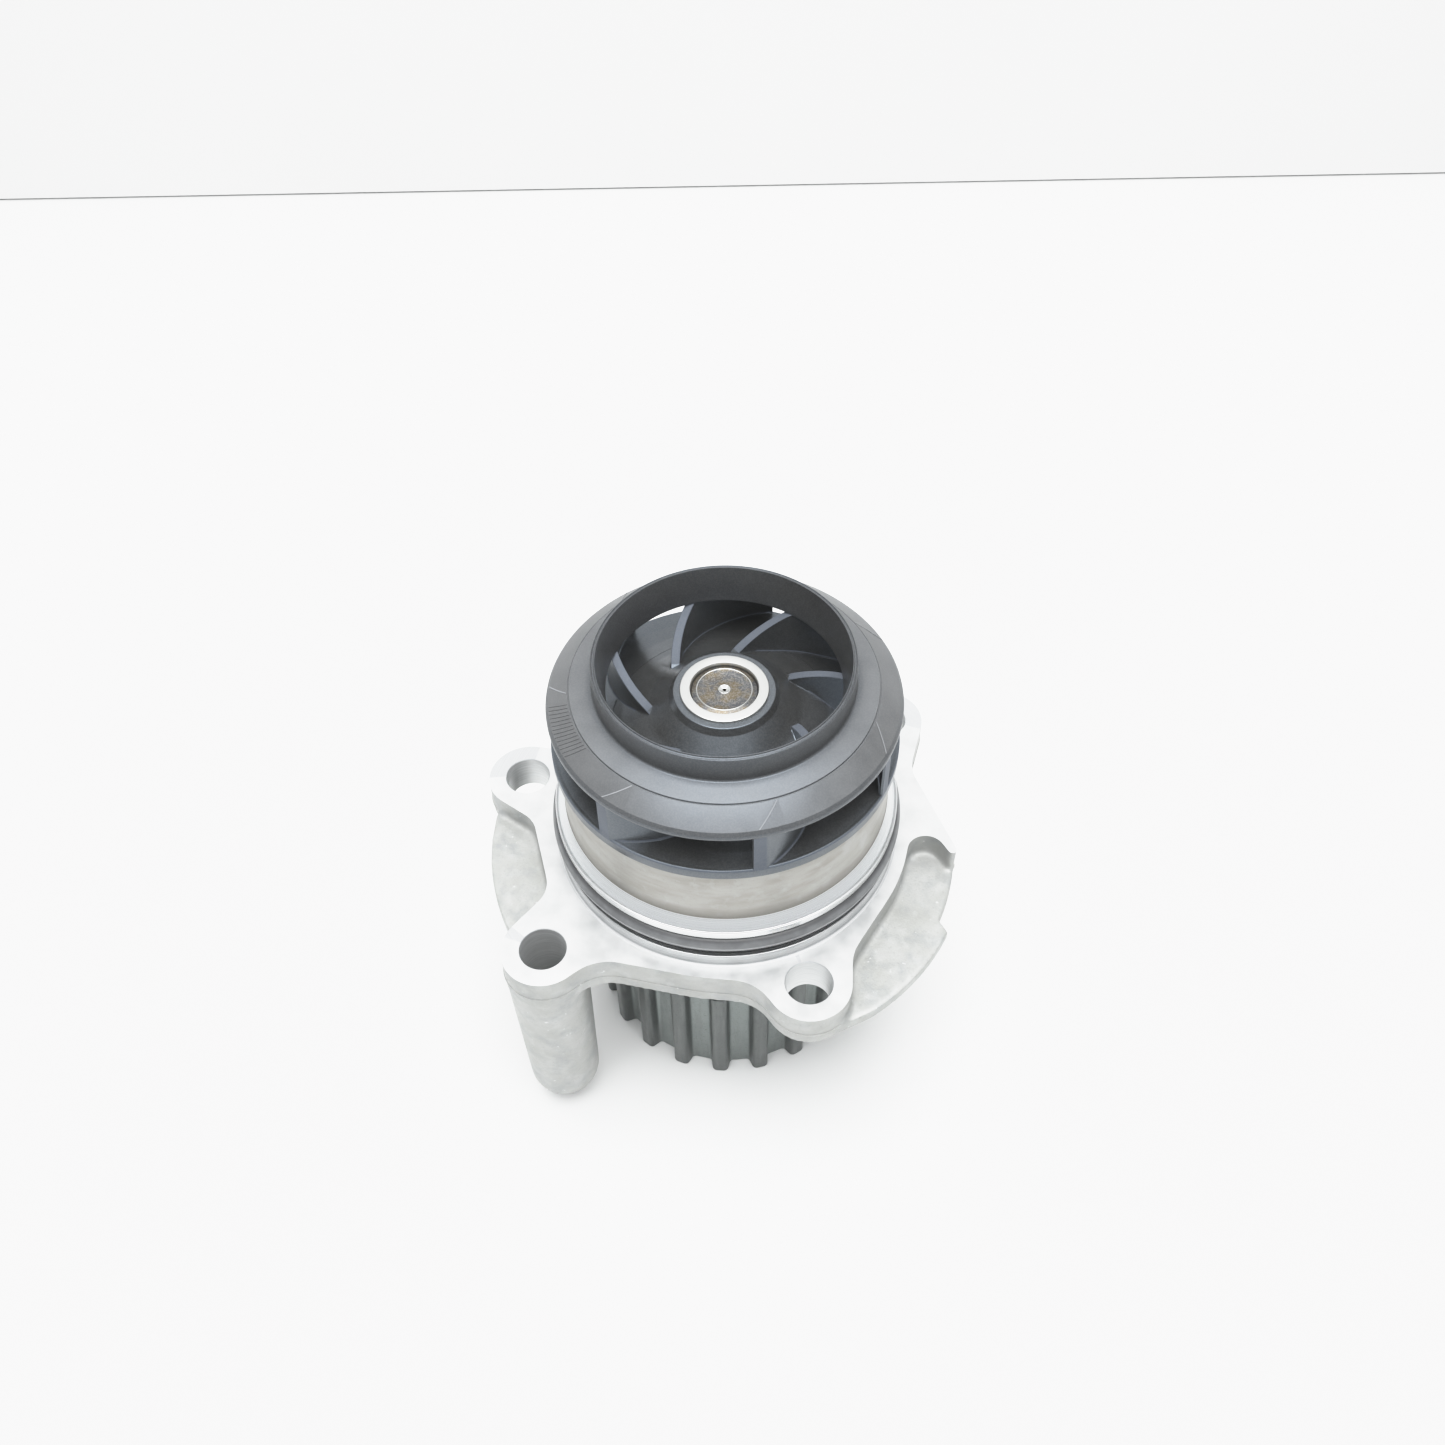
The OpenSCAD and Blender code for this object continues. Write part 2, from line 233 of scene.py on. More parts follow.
def keep_only(piece, mesh):
    """Gives a piece the mesh that its modifiers made."""
    piece.modifiers.clear()
    old, piece.data = piece.data, mesh
    bpy.data.meshes.remove(old)


def bake_modifiers(piece):
    bpy.context.view_layer.update()
    graph = bpy.context.evaluated_depsgraph_get()
    keep_only(piece, bpy.data.meshes.new_from_object(piece.evaluated_get(graph)))


def combine(piece, tool, operation):
    """Adds the tool to the piece, or cuts it away, and removes the tool."""
    step = piece.modifiers.new("combine", "BOOLEAN")
    step.operation, step.object, step.solver = operation, tool, "EXACT"
    bake_modifiers(piece)
    bpy.data.objects.remove(tool)


def joined(name, pieces):
    """One object that holds the meshes of several."""
    shape = bmesh.new()
    for piece in pieces:
        shape.from_mesh(piece.data)
    mesh = bpy.data.meshes.new(name)
    shape.to_mesh(mesh)
    shape.free()
    for piece in pieces:
        bpy.data.objects.remove(piece)
    whole = bpy.data.objects.new(name, mesh)
    bpy.context.scene.collection.objects.link(whole)
    return whole


def finished(piece, body, nodes, sharp_degrees=35):
    """Scales a piece to metres, shades it and puts it on its body in place of CAD nodes."""
    piece.data.transform(Matrix.Scale(MM, 4))
    piece.data.shade_smooth()
    piece.data.set_sharp_from_angle(angle=math.radians(sharp_degrees))
    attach(piece, body)
    if nodes:
        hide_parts(*nodes)
    return piece


# ---------------------------------------------------------------- materials

class Surface:
    """A node material around one Principled shader, with textures laid out in millimetres."""

    def __init__(self, name, **sockets):
        self.material = bpy.data.materials.new(name)
        self.material.use_nodes = True
        self.tree = self.material.node_tree
        self.shader = self.tree.nodes["Principled BSDF"]
        for socket, value in sockets.items():
            self.shader.inputs[socket.replace("_", " ")].default_value = value
        self.place = self.node("ShaderNodeTexCoord").outputs["Object"]

    def node(self, kind, **settings):
        made = self.tree.nodes.new(kind)
        for key, value in settings.items():
            setattr(made, key, value)
        return made

    def join(self, source, target):
        self.tree.links.new(source, target)

    def scaled(self, scale):
        mapping = self.node("ShaderNodeMapping")
        mapping.inputs["Scale"].default_value = [s / MM for s in scale]
        self.join(self.place, mapping.inputs["Vector"])
        return mapping.outputs["Vector"]

    def noise(self, size, detail=3.0, rough=0.55, vector=None):
        """Noise whose blotches are about size mm across, or size (x, y, z) mm."""
        size = size if isinstance(size, tuple) else (size,) * 3
        made = self.node("ShaderNodeTexNoise")
        made.inputs["Scale"].default_value = 1.0
        made.inputs["Detail"].default_value = detail
        made.inputs["Roughness"].default_value = rough
        if vector is None:
            vector = self.scaled([1 / s if s else 0.0 for s in size])
        self.join(vector, made.inputs["Vector"])
        return made.outputs["Fac"]

    def from_axis(self):
        """Distance from the shaft's axis, in mm."""
        length = self.node("ShaderNodeVectorMath", operation="LENGTH")
        self.join(self.scaled((1, 1, 0)), length.inputs[0])
        return length.outputs["Value"]

    def height(self):
        """Height above the mounting face, in mm."""
        parts = self.node("ShaderNodeSeparateXYZ")
        self.join(self.scaled((1, 1, 1)), parts.inputs[0])
        return parts.outputs["Z"]

    def faces_up(self):
        """How far a surface faces upwards: 1 when level, 0 when upright."""
        parts = self.node("ShaderNodeSeparateXYZ")
        self.join(self.node("ShaderNodeNewGeometry").outputs["Normal"], parts.inputs[0])
        return parts.outputs["Z"]

    def rings(self, pitch, seed=0.0):
        """Noise that changes only with the distance from the shaft's axis, and with height."""
        made = self.node("ShaderNodeCombineXYZ")
        self.join(self.math("DIVIDE", self.from_axis(), pitch), made.inputs[0])
        self.join(self.math("DIVIDE", self.height(), pitch), made.inputs[1])
        made.inputs[2].default_value = seed
        return self.noise(pitch, detail=4.0, vector=made.outputs[0])

    def math(self, operation, a, b):
        made = self.node("ShaderNodeMath", operation=operation)
        for socket, value in zip(made.inputs, (a, b)):
            if isinstance(value, (int, float)):
                socket.default_value = value
            else:
                self.join(value, socket)
        return made.outputs[0]

    def ramp(self, fac, low, high, out_low=0.0, out_high=1.0):
        made = self.node("ShaderNodeMapRange", clamp=True)
        self.join(fac, made.inputs["Value"])
        made.inputs["From Min"].default_value = low
        made.inputs["From Max"].default_value = high
        made.inputs["To Min"].default_value = out_low
        made.inputs["To Max"].default_value = out_high
        return made.outputs[0]

    def mix(self, fac, a, b):
        made = self.node("ShaderNodeMix", data_type="RGBA")
        self.join(fac, made.inputs[0])
        for socket, value in zip((made.inputs[6], made.inputs[7]), (a, b)):
            if isinstance(value, tuple):
                socket.default_value = (*value, 1.0)
            else:
                self.join(value, socket)
        return made.outputs[2]

    def colour(self, source):
        self.join(source, self.shader.inputs["Base Color"])

    def roughness(self, fac, low, high):
        self.join(self.ramp(fac, 0.3, 0.7, low, high), self.shader.inputs["Roughness"])

    def bump(self, layers):
        """Adds up (height source, depth in mm) layers into the normal."""
        normal = None
        for source, depth in layers:
            made = self.node("ShaderNodeBump")
            made.inputs["Distance"].default_value = depth * MM
            self.join(source, made.inputs["Height"])
            if normal is not None:
                self.join(normal, made.inputs["Normal"])
            normal = made.outputs["Normal"]
        self.join(normal, self.shader.inputs["Normal"])

    def turned_round_axis(self, amount):
        """Spreads reflections across the circular marks that a lathe leaves."""
        round_axis = self.node("ShaderNodeVectorMath", operation="CROSS_PRODUCT")
        round_axis.inputs[0].default_value = (0, 0, 1)
        self.join(self.place, round_axis.inputs[1])
        to_world = self.node("ShaderNodeVectorTransform", vector_type="VECTOR")
        to_world.convert_from, to_world.convert_to = "OBJECT", "WORLD"
        self.join(round_axis.outputs["Vector"], to_world.inputs[0])
        self.join(to_world.outputs[0], self.shader.inputs["Tangent"])
        self.shader.inputs["Anisotropic"].default_value = amount
        self.shader.inputs["Anisotropic Rotation"].default_value = 0.25


def cast_aluminium():
    s = Surface("cast_aluminium", Metallic=0.35, Specular_IOR_Level=0.6)
    cloud, blotch, grain, skin = s.noise(9.0), s.noise(2.6), s.noise(0.42, detail=5.0), s.noise(1.3)
    stain = s.noise(5.0, detail=6.0, rough=0.65)
    base = s.mix(s.ramp(cloud, 0.35, 0.65), (0.335, 0.34, 0.325), (0.405, 0.41, 0.40))
    base = s.mix(s.ramp(stain, 0.48, 0.66, 0.0, 0.6), base, (0.27, 0.285, 0.29))
    base = s.mix(s.ramp(blotch, 0.52, 0.66, 0.0, 0.3), base, (0.50, 0.51, 0.505))
    base = s.mix(s.ramp(grain, 0.30, 0.42, 0.5, 0.0), base, (0.26, 0.265, 0.255))
    base = s.mix(s.ramp(skin, 0.70, 0.74, 0.0, 0.8), base, (0.62, 0.63, 0.63))
    s.colour(base)
    s.roughness(skin, 0.42, 0.56)
    s.bump([(grain, 0.035), (skin, 0.06)])
    return s.material


def faced_aluminium():
    s = Surface("faced_aluminium", Metallic=0.9)
    turning, blotch = s.rings(0.25), s.noise(5.0)
    s.colour(s.mix(s.ramp(turning, 0.3, 0.7), (0.485, 0.495, 0.505), (0.59, 0.60, 0.61)))
    s.roughness(blotch, 0.44, 0.50)
    s.bump([(turning, 0.006)])
    s.turned_round_axis(0.4)
    return s.material


def turned_aluminium():
    s = Surface("turned_aluminium", Metallic=1.0)
    turning = s.rings(0.16, seed=4.0)
    bright = s.mix(s.ramp(turning, 0.3, 0.7), (0.62, 0.63, 0.635), (0.76, 0.77, 0.775))
    in_shade = s.ramp(s.height(), 0.5, LIP_H, 0.62, 0.30)
    below_lip_top = s.ramp(s.height(), LIP_H + 0.1, LIP_H + 0.3, 1.0, 0.0)
    on_lip = s.math("MULTIPLY", s.ramp(s.height(), 0.3, 0.5), below_lip_top)
    base = s.mix(s.math("MULTIPLY", in_shade, on_lip), bright, (0.22, 0.225, 0.23))
    # Painted shade on the slope above the O-ring: a darker bluish grey, strongest at the slope's foot and
    # fading upwards.
    slope_shade_fading_up = s.ramp(s.height(), SLOPE_FOOT, 12.9, 1.0, 0.3)
    painted_slope_shade = s.math("MULTIPLY", s.ramp(s.height(), SLOPE_FOOT, SLOPE_FOOT + 0.05), slope_shade_fading_up)
    base = s.mix(painted_slope_shade, base, (0.64, 0.66, 0.67))
    # Painted highlight: a near-white band along the fillet at the spigot's foot.
    s.colour(s.mix(s.ramp(s.height(), 0.15, 0.35, 0.8, 0.0), base, (0.93, 0.93, 0.93)))
    s.roughness(turning, 0.24, 0.34)
    s.bump([(turning, 0.003)])
    s.turned_round_axis(0.5)
    return s.material


def drum_aluminium():
    s = Surface("drum_aluminium", Metallic=0.5, Specular_IOR_Level=0.5)
    streak, blotch, grain = s.noise((10.0, 10.0, 2.6)), s.noise(3.6), s.noise(0.4, detail=5.0)
    base = s.mix(s.ramp(streak, 0.35, 0.65), (0.295, 0.285, 0.26), (0.37, 0.365, 0.345))
    base = s.mix(s.ramp(blotch, 0.55, 0.7, 0.0, 0.5), base, (0.45, 0.455, 0.45))
    # Painted shade: darker and browner towards the drum's foot.
    base = s.mix(s.ramp(s.height(), 13.1, 16.2, 0.9, 0.0), base, (0.17, 0.162, 0.145))
    s.colour(s.mix(s.ramp(grain, 0.32, 0.42, 0.4, 0.0), base, (0.25, 0.245, 0.225)))
    s.roughness(blotch, 0.38, 0.50)
    s.bump([(grain, 0.014), (s.rings(0.5, seed=9.0), 0.01)])
    s.turned_round_axis(0.4)
    return s.material


def bored_aluminium():
    s = Surface("bored_aluminium", Metallic=0.6)
    spiral = s.noise((6.0, 6.0, 0.3))
    s.colour(s.mix(s.ramp(spiral, 0.35, 0.65), (0.55, 0.56, 0.56), (0.68, 0.69, 0.69)))
    s.roughness(spiral, 0.35, 0.5)
    s.bump([(spiral, 0.012)])
    return s.material


def impeller_plastic(name, dark, light, tint, gloss, rough, dust_and_sheen=0.0):
    """Glass-filled plastic; the last argument sets how much paler it is where it faces up outside the collar,
    partly as settled dirt and partly as a painted highlight.
    """
    s = Surface(name, IOR=1.6, Specular_IOR_Level=gloss, Specular_Tint=(*tint, 1.0))
    flow, grain, haze = s.noise((14.0, 14.0, 6.0)), s.noise(0.3, detail=5.0), s.noise(5.0)
    base = s.mix(s.ramp(flow, 0.35, 0.65), dark, light)
    if dust_and_sheen:
        patchy = s.ramp(haze, 0.25, 0.75, dust_and_sheen * 0.6, dust_and_sheen)
        # Paler where the surface faces up: partly settled dirt, partly a painted highlight.
        pale_facing_up = s.math("MULTIPLY", s.ramp(s.faces_up(), 0.55, 0.80), patchy)
        outside = s.ramp(s.from_axis(), COLLAR_R, COLLAR_R + 1.5)
        base = s.mix(s.math("MULTIPLY", pale_facing_up, outside), base, (0.20, 0.198, 0.194))
    s.colour(s.mix(s.ramp(grain, 0.42, 0.62, 0.0, 0.16), base, (0.16, 0.16, 0.16)))
    s.roughness(haze, rough, rough + 0.08)
    s.bump([(grain, 0.008), (s.noise(3.0), 0.02)])
    return s.material


def o_ring_rubber():
    s = Surface("o_ring_rubber", Specular_IOR_Level=0.6)
    dust_and_sheen, grain = s.noise(2.5), s.noise(0.3)
    base = s.mix(s.ramp(dust_and_sheen, 0.40, 0.65), (0.098, 0.102, 0.106), (0.130, 0.135, 0.140))
    # Painted shadow: the ring's top darkens where the groove's upper wall overhangs it.
    painted_groove_shadow = s.ramp(s.height(), O_RING_Z + 0.30 * O_RING_D, O_RING_Z + 0.42 * O_RING_D, 0.0, 0.7)
    base = s.mix(painted_groove_shadow, base, (0.02, 0.02, 0.022))
    # A pale band just below the ring's middle: its moulding line, painted paler as a highlight.
    below_line = s.ramp(s.height(), O_RING_Z - 0.3, O_RING_Z - 0.2)
    moulding_line_and_highlight = s.math("MULTIPLY", below_line, s.ramp(s.height(), O_RING_Z, O_RING_Z + 0.1, 1.0, 0.0))
    s.colour(s.mix(moulding_line_and_highlight, base, (0.24, 0.25, 0.26)))
    s.roughness(dust_and_sheen, 0.34, 0.42)
    s.bump([(grain, 0.008)])
    return s.material


def insert_steel():
    s = Surface("insert_steel", Metallic=1.0)
    turning = s.rings(0.12, seed=2.0)
    s.colour(s.mix(s.ramp(turning, 0.3, 0.7), (0.47, 0.475, 0.465), (0.58, 0.585, 0.57)))
    s.roughness(turning, 0.34, 0.44)
    s.bump([(turning, 0.005)])
    s.turned_round_axis(0.4)
    return s.material


def shaft_steel():
    s = Surface("shaft_steel", Metallic=0.8)
    tint, fine, turning = s.noise(2.4, detail=6.0), s.noise(0.3, detail=6.0), s.rings(0.2, seed=7.0)
    base = s.mix(s.ramp(tint, 0.42, 0.58), (0.080, 0.083, 0.090), (0.120, 0.095, 0.060))
    base = s.mix(s.ramp(fine, 0.46, 0.62, 0.0, 0.7), base, (0.215, 0.21, 0.195))
    base = s.mix(s.ramp(turning, 0.55, 0.70, 0.0, 0.25), base, (0.26, 0.255, 0.24))
    s.colour(base)
    s.roughness(fine, 0.32, 0.46)
    s.bump([(turning, 0.008), (fine, 0.006)])
    s.turned_round_axis(0.3)
    return s.material


def sintered_steel():
    s = Surface("sintered_steel", Metallic=0.55)
    blotch, pores, streak = s.noise(4.0), s.noise(0.3, detail=5.0), s.noise((1.2, 1.2, 14.0))
    # Painted light: the floors of the gaps between the teeth are paler.
    painted_gap_light = s.ramp(s.from_axis(), ROOT_R + 0.25, ROOT_R + 0.7, 1.0, 0.0)
    base = s.mix(s.ramp(blotch, 0.35, 0.65), (0.060, 0.068, 0.066), (0.095, 0.105, 0.102))
    # Painted highlight: a paler stripe along the tips of the teeth.
    painted_tip_highlight = s.ramp(s.from_axis(), TIP_R - 0.3, TIP_R - 0.02, 0.0, 0.35)
    base = s.mix(painted_gap_light, base, (0.21, 0.235, 0.228))
    base = s.mix(painted_tip_highlight, base, (0.17, 0.18, 0.177))
    base = s.mix(s.ramp(streak, 0.5, 0.68, 0.0, 0.5), base, (0.16, 0.17, 0.167))
    s.colour(s.mix(s.ramp(pores, 0.32, 0.42, 0.5, 0.0), base, (0.03, 0.034, 0.033)))
    s.roughness(blotch, 0.36, 0.5)
    s.bump([(pores, 0.02), (streak, 0.02)])
    return s.material


def plain_part(name, dark, light, metallic, rough, size=1.5):
    """Material of a piece inside the pump: two tones, a varying gloss and a fine grain."""
    s = Surface(name, Metallic=metallic)
    tone = s.noise(size)
    s.colour(s.mix(s.ramp(tone, 0.35, 0.65), dark, light))
    s.roughness(tone, rough, rough + 0.14)
    s.bump([(s.noise(size / 5), 0.006)])
    return s.material


CAST, FACED, TURNED, DRUM, BORED = range(5)
housing_materials = [
    cast_aluminium(), faced_aluminium(), turned_aluminium(), drum_aluminium(), bored_aluminium(),
]


# ---------------------------------------------------------------- housing

def web(name, outer, inner, thickness):
    return prism(name, [*outer, *inner], -FLANGE_T, -FLANGE_T + thickness)


def rib(angle):
    profile = [(16, -FLANGE_T + 1), (34, -FLANGE_T + 1), (34, -FLANGE_T - 1), (16, -22)]
    half = 1.75
    piece = loft("rib", [[(r, y, z) for r, z in profile] for y in (-half, half)])
    piece.data.transform(Matrix.Rotation(math.radians(angle), 4, "Z"))
    return piece


def pillar():
    centre_z = PILLAR_BOTTOM + PILLAR_END_R
    dome = [
        (PILLAR_END_R * math.sin(a), centre_z - PILLAR_END_R * math.cos(a))
        for a in np.linspace(0, math.pi / 2, 16)
    ]
    piece = lathe("pillar", [*dome, (PILLAR_TOP_R, -FLANGE_T + 1), (0, -FLANGE_T + 1)], steps=96)
    piece.data.transform(Matrix.Translation((*FRONT_LEFT, 0)))
    return piece


def casting():
    """The raw casting, melted into one skin with soft corners."""
    allowance = 1.6
    parts = [
        prism("flange", wrapped(FLANGE), -FLANGE_T, allowance),
        web("left_web", arc(50.4, 168, 212), [(-30, -24), (-30, 8)], LEFT_WEB_T),
        web("right_web", [(20, -46.4), *arc(51.0, -57.5, -29), *arc(48.4, -27, -8)],
            [(38, -2), (20, -20), (14, -36)], RIGHT_WEB_T),
        lathe("boss", [
            (0, BOSS_BOTTOM), (BOSS_R - 0.4, BOSS_BOTTOM), (BOSS_R, -FLANGE_T + 1), (0, -FLANGE_T + 1),
        ]),
        pillar(),
        *[rib(angle) for angle in RIB_ANGLES],
    ]
    cast = joined("housing", parts)
    skin = cast.modifiers.new("skin", "REMESH")
    skin.mode, skin.voxel_size = "VOXEL", 0.42
    soften = cast.modifiers.new("soften", "SMOOTH")
    soften.factor, soften.iterations = 0.5, 8
    thin = cast.modifiers.new("thin", "DECIMATE")
    thin.ratio = 0.35
    bake_modifiers(cast)
    return cast


def spigot():
    """Outside of the turned spigot and the drum over it, sunk a little into the flange."""
    return lathe("spigot", rounded([
        (0, -1), (SPIGOT_R + 0.6, -1), (SPIGOT_R + 0.6, -0.02), (SPIGOT_R + 0.26, 0.04),
        (SPIGOT_R + 0.07, 0.2), (SPIGOT_R, 0.5), (SPIGOT_R, LIP_H, 0.3),
        (GROOVE_R, LIP_H, 0.3), (GROOVE_R, GROOVE_TOP, 0.3),
        (SPIGOT_R - 0.2, GROOVE_TOP, 0.1), (SPIGOT_R - 0.2, SLOPE_FOOT - 0.1, 0.1), (34.88, SLOPE_FOOT),
        (34.74, SLOPE_FOOT - 0.25), (34.62, SLOPE_FOOT), (DRUM_R, 13.1, 0.5),
        (DRUM_R, DRUM_TOP, 0.4), (0, DRUM_TOP),
    ]), steps=288)


def hollows():
    """Everything bored, drilled or cored out of the housing."""
    core = lathe("core", [
        (0, BOSS_BOTTOM - 1), (BEARING_R, BOSS_BOTTOM - 1), (BEARING_R, BEARING_TOP),
        (CHAMBER_R, BEARING_TOP), (CHAMBER_R, SEAL_FLOOR), (SEAL_R, SEAL_FLOOR), (SEAL_R, TOWER_TOP),
        (TOWER_R, TOWER_TOP), (TOWER_R, CAVITY_FLOOR), (CAVITY_R, CAVITY_FLOOR),
        (CAVITY_R, DRUM_TOP + 1), (0, DRUM_TOP + 1),
    ], steps=192)
    tools = [core]
    mouth = 0.15
    for (x, y), low in (
        (REAR_LEFT, None), (FRONT_RIGHT, None), (REAR_RIGHT, None), (FRONT_LEFT, -PILLAR_HOLE),
    ):
        profile = [(BOLT_R, -mouth), (BOLT_R + mouth + 1, 1), (0, 1)]
        if low is None:
            profile = [(0, -10.5), (BOLT_R + 2 + mouth, -10.5), (BOLT_R, -FLANGE_T + mouth)] + profile
        else:
            profile = [(0, low - 2.5), (BOLT_R, low)] + profile
        tool = lathe("drill", profile, steps=96)
        tool.data.transform(Matrix.Translation((x, y, 0)))
        tools.append(tool)
    weep = lathe("weep", [(0, 12), (WEEP_R, 12), (WEEP_R, 42), (0, 42)], steps=48)
    weep.data.transform(Matrix.Translation((0, 0, WEEP_Z)) @ Matrix.Rotation(-math.pi / 2, 4, "X"))
    return joined("hollows", [*tools, weep])


def paint_housing(piece):
    """Gives each face the finish of the cut that made it."""
    mesh = piece.data
    n = len(mesh.polygons)
    centre, normal = np.zeros(3 * n), np.zeros(3 * n)
    mesh.polygons.foreach_get("center", centre)
    mesh.polygons.foreach_get("normal", normal)
    centre, normal = centre.reshape(-1, 3), normal.reshape(-1, 3)
    r, z = np.hypot(centre[:, 0], centre[:, 1]), centre[:, 2]
    finish = np.full(n, CAST)
    finish[(np.abs(z) < 0.05) & (normal[:, 2] > 0.99)] = FACED
    finish[(r < SPIGOT_R + 0.65) & (z > -0.02) & (finish != FACED)] = TURNED
    finish[(r > SPIGOT_R + 0.02) & (r < SPIGOT_R + 0.65) & (np.abs(z) < 0.12)] = FACED
    finish[(r < DRUM_R + 0.2) & (z > 12.9)] = DRUM
    finish[(r < 29) & ((z > 0.5) | (r < 18.5))] = BORED
    for x, y in (REAR_LEFT, FRONT_LEFT, FRONT_RIGHT, REAR_RIGHT):
        near = np.hypot(centre[:, 0] - x, centre[:, 1] - y) < BOLT_R + 0.32
        wall = near & (np.abs(normal[:, 2]) < 0.8)
        finish[wall & (z < -0.05) & (z > -PILLAR_HOLE - 3)] = BORED
        finish[near & (z <= -0.02) & (z > -0.5)] = FACED
    for material in housing_materials:
        mesh.materials.append(material)
    mesh.polygons.foreach_set("material_index", finish.astype(np.int32))


def build_housing():
    piece = casting()
    combine(piece, prism("milled_away", [(-70, -70), (70, -70), (70, 70), (-70, 70)], 0, 5), "DIFFERENCE")
    combine(piece, prism("parting_line", wrapped(FLANGE, grow=0.16), -5.75, -5.35), "UNION")
    combine(piece, spigot(), "UNION")
    combine(piece, hollows(), "DIFFERENCE")
    piece.data.materials.clear()
    paint_housing(piece)
    finished(piece, "pump_body", ["housing"], sharp_degrees=32)
    for face in piece.data.polygons:
        face.use_smooth = face.material_index != FACED


# ---------------------------------------------------------------- impeller

HUB_TOP = [
    (IMPELLER_R, 29.2), (33.9, 29.7), (33.3, 30.0), (30, 30.4), (26, 31.3),
    (20, 33.5), (14.7, 36.4), (10.6, 40), (9.8, 41.3),
]
SHROUD_UNDER = [(IMPELLER_R, 39.3), (29.5, 41.2), (25.5, 42.3), (22.8, 42.9), (LIP_R, 43.3)]
BLADE_ROOT, BLADE_MIDDLE, BLADE_TAIL = polar(14.7, 27.6), polar(22.6, 4.6), polar(34, -29.3)


def height_at(line, r):
    ordered = sorted(line)
    return float(np.interp(r, [p[0] for p in ordered], [p[1] for p in ordered]))


def circle_through(p, q, s):
    (px, py), (qx, qy), (sx, sy) = p, q, s
    rows = np.array([[qx - px, qy - py], [sx - qx, sy - qy]]) * 2
    sums = np.array([qx**2 + qy**2 - px**2 - py**2, sx**2 + sy**2 - qx**2 - qy**2])
    centre = np.linalg.solve(rows, sums)
    return centre, float(np.hypot(*(np.array(p) - centre)))


def blade(index):
    """One blade: a curved wall with a fillet at its foot, up to its leading edge and the shroud."""
    centre, r = circle_through(BLADE_ROOT, BLADE_MIDDLE, BLADE_TAIL)
    start = math.atan2(*(np.array(BLADE_ROOT) - centre)[::-1]) + math.radians(3)
    end = math.atan2(*(np.array(BLADE_TAIL) - centre)[::-1]) - math.radians(2)
    edge_top = [(13.9, 36.6), (14.6, 37.3), (22.5, 42.55), (22.9, 42.95), *SHROUD_UNDER[:3]]
    edge, foot = 0.12, 0.4
    rings = []
    for t in np.linspace(0, 1, 48):
        a = start + (end - start) * t
        half = (BLADE_LEAD_T + (BLADE_TAIL_T - BLADE_LEAD_T) * t) / 2
        out = np.array((math.cos(a), math.sin(a)))
        top_z = height_at(edge_top, math.hypot(*(centre + r * out))) + 0.05
        side = [(foot, -0.1), (foot * 0.6, 0.04), (foot * 0.25, foot * 0.3), (0.0, foot)]
        ring = []
        for sign in (-1, 1):
            wall = []
            for spread, rise in side:
                spot = centre + (r + sign * (half + spread)) * out
                wall.append((*spot, min(height_at(HUB_TOP, math.hypot(*spot)) + rise, top_z - edge)))
            for spread, drop in ((0.0, edge), (-edge, 0.0)):
                wall.append((*(centre + (r + sign * (half + spread)) * out), top_z - drop))
            ring += wall[::-sign]
        base = centre + r * out
        ring.append((*base, height_at(HUB_TOP, math.hypot(*base)) - 1.0))
        rings.append(ring)
    piece = loft("blade", rings)
    piece.data.transform(Matrix.Rotation(TURN * index / BLADES, 4, "Z"))
    return piece


def build_hub():
    profile = rounded([
        (INSERT_R, 24.6), (12.6, 24.6, 0.5), (13.2, 32.4, 1), (16, 31.6, 1), (24, 28.6, 2),
        (28, DISC_BOTTOM, 2), (IMPELLER_R, DISC_BOTTOM, 0.25), (IMPELLER_R, 30.0, 0.8),
        (33.3, 30.0, 0.1), (30, 30.4, 6), (26, 31.3, 8),
        (22.06, 32.74), (22.0, 32.56), (21.84, 32.58), (21.8, 32.98),
        (20, 33.6, 8), (14.7, 36.4, 6), (10.6, 40, 0.8), (9.8, 41.35, 0.35), (INSERT_R, 41.35),
    ], steps=6)
    hub = lathe("impeller_hub", profile, steps=280)
    blades = joined("blades", [blade(i) for i in range(BLADES)])
    rim_r = IMPELLER_R - 0.03
    combine(blades, lathe("rim", [(0, 20), (rim_r, 20), (rim_r, 50), (0, 50)], 280), "INTERSECT")
    combine(hub, blades, "UNION")
    hub.data.materials.clear()
    hub.data.materials.append(hub_plastic)
    hub.data.materials.append(painted_edge_highlight)
    # Painted highlight: the blades' top edges, trailing ends and foot fillets get a paler plastic.
    for face in hub.data.polygons:
        r, rise = math.hypot(face.center.x, face.center.y), face.normal.z
        above = face.center.z - height_at(HUB_TOP, r)
        leading_edge = above > 0.4 and rise > 0.5
        foot_fillet = 0.02 < above < 0.4 and 0.25 < rise < 0.85 and 17 < r < IMPELLER_R - 0.1
        trailing_edge = above > 0.4 and r > IMPELLER_R - 0.1
        face.material_index = int(leading_edge or foot_fillet or trailing_edge)
    return finished(hub, "rotor", ["impeller_hub"])


def cone_height(r):
    """Height of the shroud's outer cone."""
    return 43.7 + (r - 29.6) * (40.9 - 43.7) / (33.5 - 29.6)


def cone_bar(r0, r1, angle0, angle1, width, low, high):
    """A thin bar that follows the shroud's cone, from low to high against its surface."""
    rings = []
    for t in np.linspace(0, 1, 5):
        r, a = r0 + (r1 - r0) * t, math.radians(angle0 + (angle1 - angle0) * t)
        along, side = Vector((math.cos(a), math.sin(a), 0)), Vector((-math.sin(a), math.cos(a), 0))
        spot = along * r
        rings.append([
            tuple(spot + side * s * width / 2 + Vector((0, 0, cone_height(r) + h)))
            for s, h in ((-1, low), (1, low), (1, high), (-1, high))
        ])
    return loft("bar", rings)


